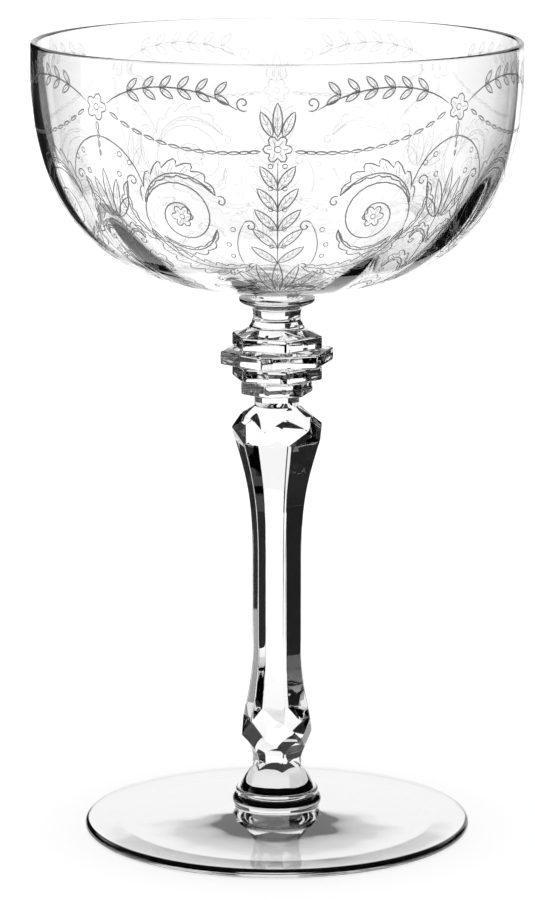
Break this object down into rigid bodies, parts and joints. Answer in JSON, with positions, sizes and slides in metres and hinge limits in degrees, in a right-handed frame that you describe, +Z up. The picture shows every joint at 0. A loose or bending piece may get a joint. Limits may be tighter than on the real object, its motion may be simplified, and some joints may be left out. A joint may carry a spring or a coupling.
{
  "type": "sherbet glass",
  "caption": "Tall clear sherbet glass: a wide round bowl on a tiered hexagonal knop and faceted baluster stem, with a broad round foot.",
  "frame": {"origin": "centre of the ring that the foot stands on, on the glass's axis", "axes": "+Z up along the axis of the bowl, stem and foot; +X and +Y are free, because the glass has no front"},
  "size_m": [0.092, 0.092, 0.1513],
  "materials": {
    "bowl_glass": "clear blown glass, with a frosted etched ornament outside",
    "stem_glass": "clear pressed glass, fire polished",
    "foot_glass": "clear cast glass, polished"
  },
  "bodies": {
    "root": {"foot": "foot_glass", "foot_collar": "stem_glass", "stem": "stem_glass", "knop": "stem_glass", "bowl_collar": "stem_glass", "bowl": "bowl_glass"}
  },
  "joints": []
}
